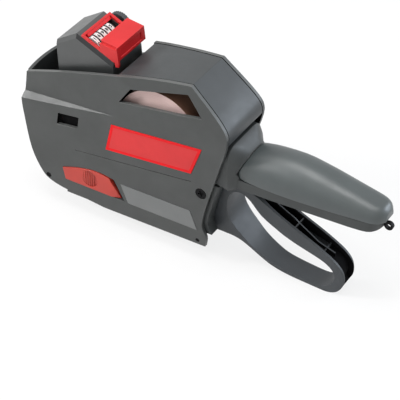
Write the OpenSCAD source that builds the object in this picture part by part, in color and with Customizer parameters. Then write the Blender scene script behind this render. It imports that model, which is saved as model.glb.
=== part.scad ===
// Hand-held price labeling gun: side shells, swinging band print head, label roll and finger-loop trigger.
// The nose points to -X, the handle to +X, and Z is up.

/* [Labels] */
// Width of the label web
label_w = 37; // [35:0.5:40]
// Outer diameter of the label roll
roll_d = 61; // [50:1:63]
// Bore of the roll's cardboard core
core_bore = 13; // [11:0.5:14]
// Wall of the cardboard core
core_wall = 1.5; // [1:0.1:2.5]
// Thickness of the label web
web_t = 0.4; // [0.3:0.1:0.4]

/* [Housing] */
// Length from the shells' front edge to the rear bulge
body_len = 159; // [158:0.5:168]
// Height from the base plane to the top line of the housing
body_h = 125; // [123:0.5:130]
// Thickness of the side shells
wall = 2.5; // [2:0.1:3]
// Depth of the finger loop below the base plane
loop_drop = 12; // [10:0.5:14]
// Bulge of the nose cover in front of the shells
nose_bulge = 2.5; // [1.5:0.25:4]
// Inward taper of the upper side panel at the nose
taper_in = 4; // [2:0.25:4.5]
// Length over which the upper side panel tapers
taper_len = 75; // [60:1:90]
// Inward lean of the shells at the top rear corner
corner_in = 4; // [2:0.25:5]
// Thickness of the roll cover and the nose cover
skin = 2.2; // [1.6:0.1:2.6]
// Length of the roll window
window_len = 61.5; // [40:0.5:62]
// Height of the roll window
window_h = 13; // [8:0.5:14]

/* [Side plates and latch] */
// Length of the raised badge plate
badge_len = 66; // [50:1:70]
// Height of the raised badge plate
badge_h = 22; // [16:0.5:24]
// Length of the light stripe plate
stripe_len = 54; // [40:1:56]
// Height of the light stripe plate
stripe_h = 14; // [8:0.5:15]
// Length of the latch button
latch_len = 46; // [36:0.5:47]
// Height of the latch button at its middle
latch_h = 15; // [11:0.5:16]
// Travel of the latch button
latch_travel = 3.5; // [2:0.25:4]
// Number of grip ribs in the latch's thumb recess
latch_ribs = 6; // [3:1:8]

/* [Print head] */
// Number of number wheels and type bands
wheel_count = 5; // [3:1:5]
// Distance between neighbouring wheels
wheel_pitch = 4.4; // [3.8:0.1:4.5]
// Outer diameter of a type band on its wheel
wheel_d = 14; // [12:0.5:15]
// Thickness of a type band
band_t = 1.2; // [0.8:0.1:1.4]
// Width of a type band
band_w = 1; // [0.8:0.1:1.6]
// Width of the print head cover
head_w = 33; // [32:0.25:34]
// Distance from the wheel axis to the print face
type_reach = 73; // [70:0.5:75]
// Diameter of the setting knob
knob_d = 16.5; // [14:0.5:18]
// Diameter of the ink roller
ink_d = 11; // [8:0.5:12]

/* [Handle] */
// Length of the handle behind the housing
handle_len = 103; // [95:1:115]
// Width of the grip at its front
grip_w = 33; // [29:0.5:35]
// Width of the grip at its end
grip_end_w = 25; // [22:0.5:27]
// Height of the grip cover over its parting line
grip_h = 22.5; // [18:0.5:25]
// Height of the handle's lower rail
rail_h = 7; // [6:0.25:8]
// Hole of the hanging eye
eye_hole = 3.2; // [2.5:0.1:3.6]

/* [Trigger] */
// Width of the trigger at its front
trigger_w = 22; // [18:0.5:24]
// Width of the trigger at its finger loop
loop_w = 16; // [14:0.5:18]
// Thickness of the trigger's channel walls
trigger_wall = 1.8; // [1.4:0.1:2.4]
// Angle by which the trigger is squeezed
squeeze = 20; // [15:0.5:20]
// Part of the trigger's angle that the head arms follow
head_ratio = 0.72; // [0.6:0.01:0.74]

/* [Pins and rollers] */
// Diameter of the trigger's pivot pin
pivot_d = 5; // [4:0.25:6]
// Diameter of the base and cover hinge pins
hinge_d = 3; // [2.5:0.25:3.5]
// Diameter of the roller axles
axle_d = 4; // [3:0.25:4.25]
// Diameter of the applicator roller
applicator_d = 15; // [12:0.5:15.5]
// Diameter of the feed drum
feed_d = 24; // [20:0.5:25]
// Number of teeth on the ratchet wheel
ratchet_teeth = 12; // [8:1:18]
// Radial clearance of pins in their bores
fit = 0.05; // [0.02:0.01:0.1]

/* [Hidden] */
$fn = 48;
gap = 0.3;              // clearance between neighbouring pieces
arm_t = 1.6;            // thickness of the head arms
arm_play = 0.5;         // from a head arm to its shell
roll_play = 0.9;        // from the roll to a head arm
in_w = label_w / 2 + roll_play + arm_t + arm_play;
hw = in_w + wall;       // half the width over the shells
mid_w = in_w - gap;     // half the width of what lies between the shells

zb = loop_drop;         // height of the base plane
zt = zb + body_h;       // height that the upper edges are set from
xr = body_len;          // rear bulge of the housing
x_end = xr + handle_len;
eye_r = eye_hole / 2 + 1.4;
x_mid = (x_end + eye_r - nose_bulge) / 2;

pivot = [xr - 18.6, zb + 44];
base_pin = [xr - 21.1, zb + 4];
app_pin = [18.4, zb + 9.8];
feed_pin = [xr - 75, zb + 24];
cover_pin_at = [xr - 4.6, zt - 36];
roll_at = [xr - 53.8, zb + 76];
face_up = [31.35, zb + 46.4];   // middle of the print face with the head up
knob_t = 3.8;
knob_y = head_w / 2 + 3.8;      // inner face of the setting knob
band_slope = 9.65;      // rise of the chamfer band along the side
band_z = zt - 57.4;     // lower edge of the chamfer band at the nose

swing = squeeze * head_ratio;
stack_w = wheel_count * wheel_pitch;
stem_in = stack_w / 2 + 0.3;
stem_out = stem_in + 2;
wheel_r = wheel_d / 2;

split_z = zb + 59.5;    // parting plane of the handle
rail_z = split_z - gap - rail_h;

function turned(p, a) = [p[0] * cos(a) - p[1] * sin(a), p[0] * sin(a) + p[1] * cos(a)];
function down(p) = pivot + turned(p - pivot, swing);
wheel_at = face_up + turned([0, type_reach], -swing);
face_down = down(face_up);
platen_z = face_down[1] - web_t - 0.7;
platen_x = face_down[0];
base_floor = zb + 0.8;
platen_front = 5.4;     // from the middle of the print face to the platen's front edge

// A smooth curve through points, and a closed one
function bend(a, b, c, d, t) =
    b + (c - a) * t / 2 + (2 * a - 5 * b + 4 * c - d) * t * t / 2 + (3 * b - a - 3 * c + d) * t * t * t / 2;
function smooth(p, n = 4) = concat(
    [for (i = [0 : len(p) - 2]) for (k = [0 : n - 1])
        bend(p[max(i - 1, 0)], p[i], p[i + 1], p[min(i + 2, len(p) - 1)], k / n)],
    [p[len(p) - 1]]);
function ring(p, n = 4) = [for (i = [0 : len(p) - 1]) for (k = [0 : n - 1])
    bend(p[(i + len(p) - 1) % len(p)], p[i], p[(i + 1) % len(p)], p[(i + 2) % len(p)], k / n)];
// A ribbon of thickness t on the left of a path
function across(p, i) = let (a = p[max(i - 1, 0)], b = p[min(i + 1, len(p) - 1)], d = (b - a) / norm(b - a))
    [-d[1], d[0]];
function ribbon(p, t) = concat(p, [for (i = [len(p) - 1 : -1 : 0]) p[i] + t * across(p, i)]);

// Side outline of the housing
top_corner = [xr - 28, zt - 3.3];
cover_front = 78;
nose_edge = smooth([[3.2, zt - 37.3], [1.4, zt - 49.6], [0, zt - 57.4], [1.2, zb + 54], [5.4, zb + 28],
    [13.2, zb + 11.5], [20.4, zb + 5.9], [30.4, zb + 3.4]]);
rear_edge = smooth([[xr - 15.2, zb + 1], [xr - 14.6, zb + 8.6], [xr - 18, zb + 18], [xr - 14.4, zb + 35.7],
    [xr - 9.8, zb + 52], [xr - 4.8, zb + 69.6], [xr, zt - 36], [xr - 4.9, zt - 24], top_corner]);
top_edge = smooth([top_corner, [xr - 50.4, zt - 6.3], [cover_front, zt - 12.6], [34.7, zt - 26],
    [3.2, zt - 37.3]]);
outline = concat(nose_edge, [[44.4, zb + 2], [64, zb]], rear_edge, top_edge);

// 2D in X and Z, drawn between two heights of Y
module side(y0, y1) translate([0, y1, 0]) rotate([90, 0, 0]) linear_extrude(y1 - y0) children();
module rod(at, d, y0, y1) side(y0, y1) translate(at) circle(d = d);
module both() {
    children();
    mirror([0, 1, 0]) children();
}
module place() translate([-x_mid, 0, 0]) children();

// Slanted parallelogram from its lower front corner
module slanted(at, l, h, lean, rise, over = 0, grow = 0) translate(at)
    polygon([[-grow, -grow], [l + grow, l * rise - grow], [l + lean + over + grow, l * rise + h + grow],
        [lean - grow, h + grow]]);

// ---- Side shells ----
module taper_cut(t) intersection() {
    translate([0, hw - taper_in - t, 0]) rotate([0, 0, atan(taper_in / taper_len)]) translate([-40, 0, 0])
        cube([taper_len + 80, 30, 2 * zt]);
    translate([0, hw - t, band_z - t * 0.414]) rotate([0, -band_slope, 0]) rotate([-45, 0, 0])
        translate([-40, -60, 0]) cube([240, 120, 200]);
}
// Line below which the shells stand upright, and their lean above it
lean_a = [cover_front, zt - 12.6];
lean_b = [xr, zt - 36];
lean_turn = atan2(lean_a[1] - lean_b[1], lean_b[0] - lean_a[0]);
corner_rise = (top_corner - lean_a) * [sin(lean_turn), cos(lean_turn)];
module corner_cut(t) translate([lean_a[0], hw - t, lean_a[1]]) rotate([0, lean_turn, 0])
    rotate([atan(corner_in / corner_rise), 0, 0]) translate([-60, 0, -60]) cube([240, 30, 140]);
badge_at = [67.1, zb + 50.8];
stripe_at = [xr - 75.5, zb + 12.2];
latch_at = [31, zb + 12.6];
window_at = [79.1, zb + 93.2];
module shell_blank() difference() {
    side(hw - wall - max(taper_in, corner_in) - 1, hw) polygon(outline);
    taper_cut(0);
    corner_cut(0);
    difference() {
        translate([-50, -1, -10]) cube([400, hw - wall + 1, 300]);
        taper_cut(wall);
        corner_cut(wall);
    }
}
module window_shape() translate(window_at)
    polygon([[0, 0], [9, window_h], [window_len * 0.82, window_h + 9.3], [window_len, 8.8]]);
module shell() {
    difference() {
        shell_blank();
        side(0, hw + 1) window_shape();
        rod(pivot, 3.4, 0, hw + 1);
        rod(pivot, 8.2, hw - 1.4, hw + 1);
        rod(base_pin, hinge_d + 2 * fit, 0, hw + 1);
        rod(app_pin, axle_d + 2 * fit, 0, hw + 1);
        for (p = [feed_pin, cover_pin_at, ink_pin]) rod(p, pin_at_wall(p) + 2 * fit, 0, in_w + 1.2);
    }
    // Hub that carries the roll's core
    difference() {
        rod(roll_at, core_bore - 0.3, label_w / 2 - 4, in_w + 0.2);
        rod(roll_at, core_bore - 4, label_w / 2 - 5, in_w - 1);
    }
}
function pin_at_wall(p) = p == feed_pin ? axle_d : hinge_d;
function latch_outline(grow) = let (l = latch_len, h = latch_h)
    concat([[2 - grow, -grow], [l + grow, -grow]], smooth([[l - 8 + grow, h - 0.6 + grow],
        [l * 0.58, h + 1 + grow], [l * 0.28, h - 1.5 + grow], [-grow, h - 6 + grow]], 3));
module left_shell() color("DimGray") place() difference() {
    mirror([0, 1, 0]) shell();
    side(-hw - 1, -hw + 1) slanted(badge_at, badge_len, badge_h, 5.3, 0.1, 2.7, 0.15);
    side(-hw - 1, -hw + 1) slanted(stripe_at, stripe_len, stripe_h, -5.5, 0.006, 0, 0.15);
    side(-hw - 1, -in_w + 1) slanted([28.2, zb + 56.6], 16.8, 9.6, 1.6, 0.13);
    side(-hw - 1, -in_w + 1) {
        translate(latch_at) polygon(latch_outline(gap));
        translate(latch_at + [latch_travel, 0]) polygon(latch_outline(gap));
    }
    // Crease that runs below the badge
    side(-hw - 1, -hw + 0.4) slanted([42, zb + 40], 91, 0.7, 0, 0.117);
}
module right_shell() color("DimGray") place() difference() {
    shell();
    // Notch for the setting knob's way down
    side(hw - wall - taper_in - 2, hw + 1) {
        translate(down(wheel_at)) circle(d = knob_d + 2);
        translate(down(wheel_at)) rotate(-32) translate([-knob_d / 2 - 1, 0]) square([knob_d + 2, 50]);
        polygon([[wheel_at[0] - 4, zt - 34], [cover_front - 5, zt - 22.5], [cover_front - 1.2, zt - 18],
            [cover_front - 1.2, zt], [wheel_at[0] - 4, zt]]);
    }
}
module badge_plate() color("Red") place() side(-hw - 0.4, -hw + 1)
    slanted(badge_at, badge_len, badge_h, 5.3, 0.1, 2.7);
module stripe_plate() color("DarkGray") place() side(-hw - 0.2, -hw + 1)
    slanted(stripe_at, stripe_len, stripe_h, -5.5, 0.006);

// ---- Nose cover: the front edge turned about an upright axis ----
nose_r = (mid_w * mid_w + nose_bulge * nose_bulge) / (2 * nose_bulge);
nose_line = [for (p = nose_edge) if (p[1] > zb + 12) p];
nose_a = asin(mid_w / nose_r) - 0.05;
module nose_cover() color("DimGray") place() difference() {
    translate([nose_r - nose_bulge, 0, 0]) mirror([1, 0, 0]) rotate([0, 0, -nose_a])
        rotate_extrude(angle = 2 * nose_a, $fn = 180)
            polygon(ribbon([for (p = nose_line) [nose_r - p[0], p[1]]], -skin));
    both() taper_cut(wall + gap);
}

// ---- Roll cover: top face and rear slope, hinged above the neck ----
hinge_r = xr - cover_pin_at[0];
cover_hw = mid_w - 0.2; // half width of the roll cover
module roll_cover() color("SlateGray") place() difference() {
    side(-cover_hw, cover_hw) {
        difference() {
            intersection() {
                polygon(outline);
                translate([cover_front, cover_pin_at[1]]) square([200, 100]);
            }
            translate([-skin * 0.9, -skin * 1.15]) polygon(outline);
        }
        intersection() {
            polygon(outline);
            translate([cover_front, zt - 24]) square([skin, 30]);
        }
        translate(cover_pin_at) circle(r = hinge_r);
    }
    rod(cover_pin_at, hinge_d + 2 * fit, -mid_w - 1, mid_w + 1);
    both() corner_cut(wall + 2 * gap);
    // Room at the barrel's ends where the shells lean in
    both() rod(cover_pin_at, 2 * hinge_r + 6, mid_w - 0.5, mid_w + 1);
}
module cover_pin() color("Silver") place() rod(cover_pin_at, hinge_d, -in_w - 1, in_w + 1);

// ---- Handle frame: cheeks, neck and lower rail ----
module slab(x, w, z0, z1, r) translate([x, 0, 0]) rotate([90, 0, 90]) linear_extrude(0.2)
    for (s = [-1, 1]) {
        translate([s * (w - r), z1 - r]) circle(r = r, $fn = 32);
        translate([s * (w - 4), z0 + 4]) circle(r = 4, $fn = 32);
    }
// Side outline of the grip cover, with its leaning front edge
function grip_side(d) = concat(
    [[xr + 8.6, split_z] + [0, -d], [xr + 5, split_z + 1] + [-0.7 * d, -0.7 * d],
     [xr + 3.6, split_z + 4.5] + [-d, 0], [xr + 14, split_z + 27.5] + [-d, 0]],
    [[xr + 14, split_z + 60], [x_end + 20, split_z + 60], [x_end + 20, split_z - d]]);
cheek = concat([[xr - 22, pivot[1] + 10], [xr - 28, pivot[1] + 3], [xr - 28, pivot[1] - 12],
    [xr - 20, zb + 10.5]],
    smooth([[xr - 11.8, zb + 10.5], [xr - 15.2, zb + 19], [xr - 11.4, zb + 36], [xr - 6.8, zb + 52]]),
    [[xr + 1, zb + 56]]);
flange = concat([[xr - 20.5, zb + 10.5]],
    smooth([[xr - 11.8, zb + 10.5], [xr - 15.2, zb + 19], [xr - 11.4, zb + 36], [xr - 6.8, zb + 52]]),
    [[xr - 11, zb + 52], [pivot[0] + 6.4, pivot[1]], [pivot[0] + 5, pivot[1] - 7], [xr - 20.5, pivot[1] - 11]]);
arm_in = in_w - arm_play - arm_t;
cheek_in = trigger_w / 2 + 2.2;
function rail_plan(d) = concat([[xr - 4, 16.2 - d], [xr + 25, grip_w / 2 - 0.8 - d]],
    smooth([[x_end - 22, grip_end_w / 2 + 0.4 - d], [x_end - 10, grip_end_w / 2 - 1.2 - d],
        [x_end - 5 - d * 0.8, grip_end_w / 2 - 6], [x_end - eye_r - gap - d, 0]], 3));
function two_sided(p) = concat(p, [for (i = [len(p) - 2 : -1 : 0]) [p[i][0], -p[i][1]]]);
// Waisted neck: place along X, half width, underside, top and corner radius of its sections
neck_line = [[xr - 16, mid_w - 0.2, pivot[1] + 9, cover_pin_at[1] - 5.4, 7],
    [xr - 1, 20.8, rail_z - 2.4, cover_pin_at[1] - 6, 9], [xr + 2, 18.6, rail_z - 2, cover_pin_at[1] - 8, 10],
    [xr + 4.6, 15.2, rail_z - 1.2, cover_pin_at[1] - 11.2, 10],
    [xr + 7.4, 13.8, rail_z - 0.6, split_z + 16.2, 10], [xr + 12, 15.4, rail_z, split_z + 16.6, 11]];
module neck_slab(s) slab(s[0], s[1], s[2], s[3], s[4]);
module handle_frame() color("SlateGray") place() difference() {
    union() {
        for (i = [1 : len(neck_line) - 1]) hull() {
            neck_slab(neck_line[i - 1]);
            neck_slab(neck_line[i]);
        }
        translate([0, 0, rail_z]) linear_extrude(rail_h) polygon(two_sided(rail_plan(0)));
        both() side(cheek_in, arm_in - gap) polygon(cheek);
        both() side(arm_in - gap - 0.1, mid_w) polygon(flange);
    }
    side(-40, 40) polygon(grip_side(gap));
    // Channel that the trigger rises into
    translate([0, 0, 0]) linear_extrude(rail_z + rail_h - 2) polygon(two_sided(concat([[xr - 40, cheek_in]],
        [[xr - 4, cheek_in]], [for (i = [1 : len(rail_plan(0)) - 1]) rail_plan(2.4)[i]])));
    translate([pivot[0] - 30, -cheek_in, pivot[1] - 40]) cube([36, 2 * cheek_in, 52]);
    both() rod(pivot, pivot_d + 2 * fit, 0, in_w + 1);
    translate([x_end - 12, 0, eye_z]) rotate([0, 90, 0]) cylinder(d = 1.8, h = 30);
}
eye_z = rail_z + 1.6;
module hanging_eye() color("Silver") place() {
    difference() {
        rod([x_end, eye_z], 2 * eye_r, -1.2, 1.2);
        rod([x_end, eye_z], eye_hole, -2, 2);
    }
    translate([x_end - 8, 0, eye_z]) rotate([0, 90, 0]) cylinder(d = 1.7, h = 8 - eye_hole / 2 - 0.6);
}
// Grip cover: place along X, width and height of its sections
grip_line = [[xr + 2, grip_w - 3, grip_h - 8], [xr + 18, grip_w - 0.8, grip_h - 3.2],
    [xr + 38, grip_w - 0.6, grip_h - 1.2],
    [xr + 58, grip_w - 3, grip_h - 3.8], [x_end - 18, grip_end_w, grip_h - 10.3],
    [x_end - 8, grip_end_w - 2.6, grip_h - 12.2], [x_end - 3, grip_end_w - 7.6, grip_h - 13.8],
    [x_end - 0.4, grip_end_w - 15, grip_h - 17]];
module grip_slab(s) slab(s[0], s[1] / 2, split_z - 8, split_z + s[2], min(s[1] / 2 - 0.5, s[2] * 0.75));
module grip_cover() color("Gray") place() intersection() {
    hull() for (p = smooth(grip_line, 3)) grip_slab(p);
    side(-40, 40) polygon(grip_side(0));
}

// ---- Trigger: closed finger loop, ribbed channel and drive tongue ----
loop_out = ring([[xr - 18, pivot[1] + 7.5], [xr - 8, 62.3], [xr + 1, 61.4], [xr + 9, 59.4], [xr + 17, 55.4],
    [xr + 27, 49], [xr + 41, 42], [xr + 55, 35.7], [xr + 66, 30], [xr + 73, 25.4], [xr + 77.4, 20.2],
    [xr + 78.8, 14.2], [xr + 77.6, 7.8], [xr + 73.8, 2.6], [xr + 67.5, 0.1], [xr + 60, 0.1], [xr + 46, 0.8],
    [xr + 36, 1.7], [xr + 27, 3.7], [xr + 19, 8], [xr + 11, 13.2], [xr + 4, 17.2], [xr - 3, 19.2],
    [xr - 10, 19.6], [xr - 15.6, 19.8], [xr - 18.6, 24], [xr - 19.3, 32], [xr - 20.5, 41], [xr - 25, 50], [xr - 25, 58]], 3);
loop_in = ring([[xr - 6.6, 40], [xr - 5.6, 50], [xr - 1.5, 55.3], [xr + 4, 56], [xr + 10, 52], [xr + 18, 42.8],
    [xr + 30, 35], [xr + 42, 30.2], [xr + 53.5, 27], [xr + 63.7, 23.8], [xr + 70, 19.4], [xr + 72, 13.6],
    [xr + 69.8, 7.4], [xr + 64, 3], [xr + 57, 2.1], [xr + 49, 2.7], [xr + 39, 3.8], [xr + 30, 5.6],
    [xr + 20, 9.8], [xr + 12, 14.8], [xr + 5, 21.2], [xr - 0.8, 27], [xr - 4.8, 33]], 3);
floor_line = smooth([[xr + 14.5, 52], [xr + 18, 47.5], [xr + 30, 38.8], [xr + 42, 33.2], [xr + 53.5, 29.6],
    [xr + 64.5, 26.2], [xr + 72, 21.8], [xr + 74.8, 14.6], [xr + 74.2, 9.2], [xr + 76, 6]]);
channel = concat(floor_line, [[xr + 84, 4], [xr + 84, 26], [xr + 60, 46], [xr + 24, 64], [xr + 13.5, 60]]);
rib_w = 1;
module trigger_body() {
    side(-trigger_w / 2, trigger_w / 2) polygon(loop_out);
    rod(pivot, pivot_d + 11, -trigger_w / 2, trigger_w / 2);
    side(-6, 6) polygon([pivot + [-7, 1], pivot + [-26, -8.5], pivot + [-29, -14], pivot + [-26, -14.8],
        pivot + [-4, -8]]);
}
module trigger() color("SlateGray") place() {
    difference() {
        trigger_body();
        side(-40, 40) polygon(loop_in);
        side(-loop_w / 2 + trigger_wall, loop_w / 2 - trigger_wall) polygon(channel);
        // Flanks that narrow from the hub to the finger loop
        both() translate([xr, 0, -10]) linear_extrude(120) polygon(concat(
            [[-6, trigger_w / 2], [28, loop_w / 2]],
            smooth([[70, loop_w / 2], [76, loop_w / 2 - 0.4], [79, loop_w / 2 - 1.4], [81, loop_w / 2 - 3]]),
            [[90, 0], [90, 40], [-6, 40]]));
        rod(pivot, pivot_d + 2 * fit, -40, 40);
        // Pocket for the return spring
        side(-trigger_w / 2 - 1, -trigger_w / 2 + 5.4) translate(pivot) circle(d = pivot_d + 7.4);
    }
    // Stiffening ribs in the channel
    intersection() {
        side(-loop_w / 2 + trigger_wall - 0.1, loop_w / 2 - trigger_wall + 0.1) polygon(channel);
        union() {
            // One along the middle, deepest at the front, and two across
            side(-rib_w / 2, rib_w / 2) polygon([[xr + 10, 50], [xr + 24, 53.4], [xr + 30.5, 49.6],
                [xr + 41, 41], [xr + 55.6, 31.6], [xr + 68, 27.4], [xr + 68, 20], [xr + 30, 30]]);
            for (r = [[xr + 38, 41], [xr + 58.6, 29]]) side(-40, 40)
                polygon([[r[0] - rib_w / 2, 20], [r[0] + rib_w / 2, 20], [r[0] + 3 + rib_w / 2, r[1]],
                    [r[0] + 3 - rib_w / 2, r[1]]]);
        }
        side(-40, 40) polygon(loop_out);
    }
}
module pivot_pin() color("Silver") place() difference() {
    rod(pivot, pivot_d, -in_w + 0.05, in_w - 0.05);
    rod(pivot, 3.06, -in_w - 1, -in_w + 6);
    rod(pivot, 3.06, in_w - 6, in_w + 1);
}
module pivot_screws() color("Silver") place() both() {
    rod(pivot, 3, in_w - 4, hw - 1.3);
    difference() {
        rod(pivot, 7, hw - 1.4, hw - 0.1);
        for (a = [20, 110]) side(hw - 0.9, hw + 1) translate(pivot) rotate(a) square([4.4, 1], center = true);
    }
}
// Return spring: coils round the pivot pin with one leg on the cheek
module return_spring() color("Silver") place() {
    coil_r = pivot_d / 2 + 1.6;
    for (i = [0 : 4]) translate([pivot[0], -trigger_w / 2 + 0.6 + i, pivot[1]]) rotate([90, 0, 0])
        rotate_extrude() translate([coil_r, 0]) circle(d = 1.02, $fn = 16);
}

// ---- Print head ----
arm_plate = [pivot + [0, 5.5], [xr - 60, pivot[1] + 13.5], [60, zb + 70], [44, zb + 72], [34, zb + 71],
    [29, zb + 62], [32, zb + 54], [46, zb + 51.5], [80, zb + 48], [xr - 52, pivot[1] - 4.5],
    pivot + [-25.4, -16], pivot + [-20, -16], pivot + [-10, -5], pivot + [0, -5.5]];
bar_at = pivot + [-25.4, -20.4];
rod_at = [for (z = [23, 13]) face_up + turned([0, z], -swing)];
module head_arms() color("Silver") place() {
    both() difference() {
        side(arm_in, arm_in + arm_t) {
            difference() {
                polygon(arm_plate);
                polygon([[58, zb + 55], [58, zb + 62], [xr - 62, pivot[1] + 8], [xr - 62, pivot[1] + 1]]);
            }
            translate(pivot) circle(r = 5.5);
            translate(bar_at) circle(r = 4.5);
            polygon([bar_at + [-4.5, 0], bar_at + [4.5, 0], bar_at + [7, 7], bar_at + [-4.5, 12]]);
        }
        rod(pivot, pivot_d + 2 * fit, 0, 40);
        for (p = concat([bar_at], rod_at)) rod(p, axle_d, 0, 40);
    }
}
module arm_rods() color("Silver") place() for (p = concat([bar_at], rod_at))
    rod(p, axle_d, -arm_in - arm_t, arm_in + arm_t);
module belt(r, corner, reach) {
    circle(r = r);
    translate([-r, corner - reach]) square([2 * r, reach - corner]);
    translate([corner - r, -reach]) square([2 * (r - corner), corner]);
    for (s = [-1, 1]) translate([s * (r - corner), corner - reach]) circle(r = corner);
}
module stem_side(y0, y1) translate([wheel_at[0], 0, wheel_at[1]]) rotate([0, swing, 0])
    side(y0, y1) children();
anvil = wheel_r - band_t - 0.1;
module head_frame() color("DimGray") place() difference() {
    union() {
        both() stem_side(stem_in, stem_out) difference() {
            translate([-wheel_r + 0.4, -type_reach + 2]) square([2 * wheel_r - 0.8, type_reach + 1]);
            for (z = [-38, -24]) translate([0, z]) circle(d = 8);
        }
        // Bosses that carry the cover
        both() stem_side(stem_out - 0.1, head_w / 2 - head_wall)
            for (x = [-3, 3]) translate([x, -12]) circle(d = 4.4);
        stem_side(-stem_in - 0.1, stem_in + 0.1) {
            translate([-anvil, -type_reach + band_t + 3]) square([2 * anvil, 8]);
            translate([2.6 - anvil, -type_reach + band_t + 0.1]) square([2 * anvil - 5.2, 8]);
        }
    }
    for (p = rod_at) rod(p, axle_d, -40, 40);
    rod(wheel_at, tube_d, -40, 40);
}
tube_d = 4.8;
shaft_d = 2.9;
module wheel_tube() color("Silver") place() difference() {
    rod(wheel_at, tube_d, -stem_out, stem_out);
    rod(wheel_at, shaft_d + 2 * fit, -40, 40);
}
wheel_hw = (wheel_pitch - gap) / 2;
function wheel_y(i) = (i - (wheel_count - 1) / 2) * wheel_pitch;
function band_y(i) = wheel_y(i) + wheel_hw - band_w;
module type_band(i) color("Black") place() stem_side(band_y(i), band_y(i) + band_w) difference() {
    belt(wheel_r, 2.5, type_reach);
    belt(wheel_r - band_t, 1.3, type_reach - band_t);
}
module number_wheel(i) color("White") place() difference() {
    union() {
        rod(wheel_at, wheel_d - 2 * band_t - 2 * gap, wheel_y(i), wheel_y(i) + wheel_hw);
        rod(wheel_at, wheel_d + 0.6, wheel_y(i) - wheel_hw, band_y(i) - gap);
    }
    rod(wheel_at, tube_d + 0.1, -40, 40);
}
// Cover of the print head, set from the wheels' axis, its ridge and slanted window face
head_wall = (head_w / 2 - stem_out) * 0.625;
ridge = wheel_at + [-7.1, 10.9];
face_end = wheel_at + [20.9, -2.1];
lean = atan2(ridge[1] - face_end[1], face_end[0] - ridge[0]);
head_side = concat([wheel_at + [-21.7, -33.1], wheel_at + [-23.1, 0.9], ridge, face_end],
    [for (p = [[21.5, -12.1], [16.5, -33.1]]) wheel_at + p]);
head_hollow = [for (p = [[-19.6, -34.1], [-21, -0.3], [-6.9, 8.4], [18.8, -3.5], [19.4, -12.1],
    [14.4, -34.1]]) wheel_at + p];
module on_face() translate([ridge[0], 0, ridge[1]]) rotate([0, lean, 0]) children();
edge_in = 1.2;          // chamfer along the cover's upper edges, inwards and down
edge_down = 3.2;
bezel_y0 = edge_in - head_w / 2;    // the bezel, from side to side
bezel_y1 = head_w / 2;
// The window over the wheels: along the slanted face from the ridge, and across the head
view_s0 = 5.2;
view_s1 = 17;
view_y0 = bezel_y0 + 1.3;
view_y1 = bezel_y1 - 2.1;
module head_cover() color("DimGray") place() difference() {
    hull() {
        side(-head_w / 2 + edge_in, head_w / 2 - edge_in) polygon(head_side);
        side(-head_w / 2, head_w / 2) intersection() {
            polygon(head_side);
            translate([0, -edge_down]) polygon(head_side);
        }
    }
    side(-head_w / 2 + head_wall, head_w / 2 - head_wall) polygon(head_hollow);
    on_face() translate([view_s0, view_y0, -20]) cube([view_s1 - view_s0, view_y1 - view_y0, 40]);
    rod(wheel_at, 6, 0, 40);
}
function face_at(s, h) = ridge + turned([s, h], -lean);
block_x = wheel_at[0] + 10.4;   // front of the block that lifts the bezel
block_z = wheel_at[1] + 11.1;
block_l = 12.9;
block_drop = 1.8;               // fall of its top towards the rear
bezel_t = 1.9;
block_s = (block_x - ridge[0] - bezel_t * sin(lean)) / cos(lean);
bezel_outline = [face_at(3.4, 0.1), face_at(3.4, bezel_t), face_at(block_s, bezel_t), [block_x, block_z],
    [block_x + block_l, block_z - block_drop], [block_x + block_l + 1.2, block_z - 13],
    [block_x + block_l + 1.2, block_z - 15.6], [wheel_at[0] + 21.9, block_z - 16.2],
    [wheel_at[0] + 21.4, block_z - 13.2], face_at(30.4, 0.1)];
module bezel() color("Red") place() difference() {
    side(bezel_y0, bezel_y1) polygon(bezel_outline);
    on_face() translate([view_s0, view_y0, -5]) cube([view_s1 - view_s0, view_y1 - view_y0, 12]);
    // Ledge along the block's near side, and the finger recess in its rear face
    side(bezel_y0 - 1, bezel_y0 + 1.5) polygon([[block_x - 1, block_z - 1.8],
        [block_x + block_l - 0.8, block_z - block_drop - 1.6], [block_x + block_l - 0.8, block_z + 5],
        [block_x - 1, block_z + 5]]);
    side(bezel_y0 + 4, bezel_y1 - 4) polygon([[block_x + block_l - 0.5, block_z - 4],
        [block_x + block_l + 5, block_z - 4], [block_x + block_l + 5, block_z - 9.8],
        [block_x + block_l + 0.2, block_z - 9.8]]);
    // Only the near side wall reaches down over the cover's rear
    side(bezel_y0 + 1.8, bezel_y1 + 1) translate([wheel_at[0] + 21.2, block_z - 31.4]) square(20);
}
module setting_shaft() color("Silver") place() rod(wheel_at, shaft_d, -stem_out + 1, knob_y + knob_t - 1);
module setting_knob() color("DimGray") place() difference() {
    union() {
        rod(wheel_at, knob_d, knob_y, knob_y + knob_t);
        rod(wheel_at, 5.6, head_w / 2 + gap, knob_y + 1);
    }
    rod(wheel_at, shaft_d + 2 * fit, -40, knob_y + knob_t - 0.9);
    for (a = [0 : 12 : 359]) side(knob_y - 1, knob_y + knob_t + 1) translate(wheel_at) rotate(a)
        translate([knob_d / 2 + 0.2, 0]) circle(d = 1, $fn = 12);
}
ink_pin = [12.5, zb + 52];
ink_at = [19.2, zb + 32];
ink_hw = stem_out + 1.4;
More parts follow.
